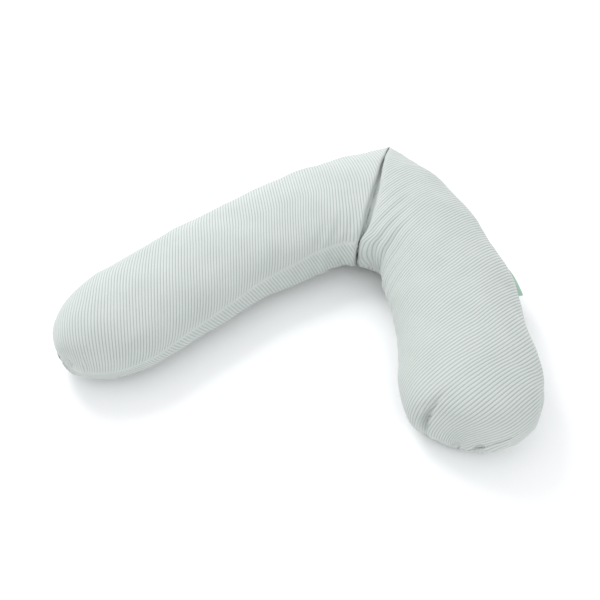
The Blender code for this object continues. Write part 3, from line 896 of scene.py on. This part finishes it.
def bead_foam():
    """Fine white beads, with painted shade between them: each cell darker towards its edge."""
    m = Nodes("bead_foam")
    cells = m.add("ShaderNodeTexVoronoi", feature="F1")
    cells.inputs["Scale"].default_value = 520.0
    m.link(m.place(), cells.inputs["Vector"])
    # painted shade: white at each bead's middle, grey towards the cell's edge, where the beads meet
    tone = m.ramp(cells.outputs["Distance"], ((0.0, (0.93, 0.93, 0.92)), (0.8, (0.72, 0.73, 0.73))))
    m.link(tone, m.shader.inputs["Base Color"])
    low_side = m.add("ShaderNodeMath", operation="SUBTRACT")
    low_side.inputs[0].default_value = 1.0
    m.link(cells.outputs["Distance"], low_side.inputs[1])
    m.link(m.bump(low_side.outputs[0], 0.0008, 0.9), m.shader.inputs["Normal"])
    m.set(Roughness=0.7)
    return m.material


def wear(obj, material):
    obj.data.materials.clear()
    obj.data.materials.append(material)


CORDUROY = corduroy()
TAPE = woven("zip_tape_cloth", (0.58, 0.64, 0.61), 420.0)
METAL = moulded("zip_paint", (0.56, 0.61, 0.585), 0.38, 0.25)
COIL = moulded("zip_nylon", (0.60, 0.66, 0.63), 0.42)
for piece in (cover_top, cover_bottom):
    wear(piece, CORDUROY)
wear(bag, woven("bag_cotton", (0.80, 0.79, 0.76), 300.0))
wear(beads, bead_foam())
wear(side_label, woven("label_ribbon", (0.33, 0.49, 0.40), 520.0, 0.55, 0.00012))
wear(care_label, woven("label_white", (0.86, 0.86, 0.85), 520.0, 0.6, 0.00012))
for coil in coils:
    wear(coil, COIL)
for prefix in ("zip", "bag_zip"):
    for word, material in (
        ("tape_upper", TAPE),
        ("tape_lower", TAPE),
        ("start_stop", METAL),
        ("end_stop", METAL),
        ("slider", METAL),
    ):
        wear(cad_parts[f"{prefix}_{word}"], material)
wear(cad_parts["zip_pull"], METAL)

# ---------------------------------------------------------------- floor, light and camera

FLOOR_REACH = 30.0
LIT_POINT = Vector((0, 0, 0.1))


def stage_floor():
    points = np.array([[-1, -1, 0], [1, -1, 0], [1, 1, 0], [-1, 1, 0]]) * FLOOR_REACH
    floor = mesh_object("floor", points, np.array([[0, 1, 2, 3]]))
    floor.data.materials.append(plain("floor_white", (0.93, 0.93, 0.93), 0.9))


def area_light(name, place, size, watts):
    data = bpy.data.lights.new(name, "AREA")
    data.energy, data.size = watts, size
    light = bpy.data.objects.new(name, data)
    light.location = place
    light.rotation_euler = (LIT_POINT - Vector(place)).to_track_quat("-Z", "Y").to_euler()
    bpy.context.scene.collection.objects.link(light)


VIEW_AZIMUTH, VIEW_ELEVATION = math.radians(15.48), math.radians(48.67)
VIEW_DISTANCE, VIEW_TARGET, VIEW_LENS = 1.931, Vector((-0.0447, -0.0939, 0.0)), 43.26


def camera():
    data = bpy.data.cameras.new("camera")
    data.lens, data.sensor_width = VIEW_LENS, 36.0
    data.clip_end = 100
    back = Vector(
        (
            math.sin(VIEW_AZIMUTH) * math.cos(VIEW_ELEVATION),
            -math.cos(VIEW_AZIMUTH) * math.cos(VIEW_ELEVATION),
            math.sin(VIEW_ELEVATION),
        )
    )
    view = bpy.data.objects.new("camera", data)
    view.location = VIEW_TARGET + back * VIEW_DISTANCE
    view.rotation_euler = (-back).to_track_quat("-Z", "Y").to_euler()
    bpy.context.scene.collection.objects.link(view)
    bpy.context.scene.camera = view


stage_floor()
world = bpy.data.worlds.new("studio")
world.use_nodes = True
world.node_tree.nodes["Background"].inputs["Color"].default_value = (0.97, 0.985, 1.0, 1)
world.node_tree.nodes["Background"].inputs["Strength"].default_value = 1.0
bpy.context.scene.world = world
bpy.context.scene.view_settings.view_transform = "Standard"
area_light("key", (-1.9, 1.3, 2.4), 1.6, 60)
area_light("fill", (1.6, -2.2, 2.2), 2.4, 14)
camera()
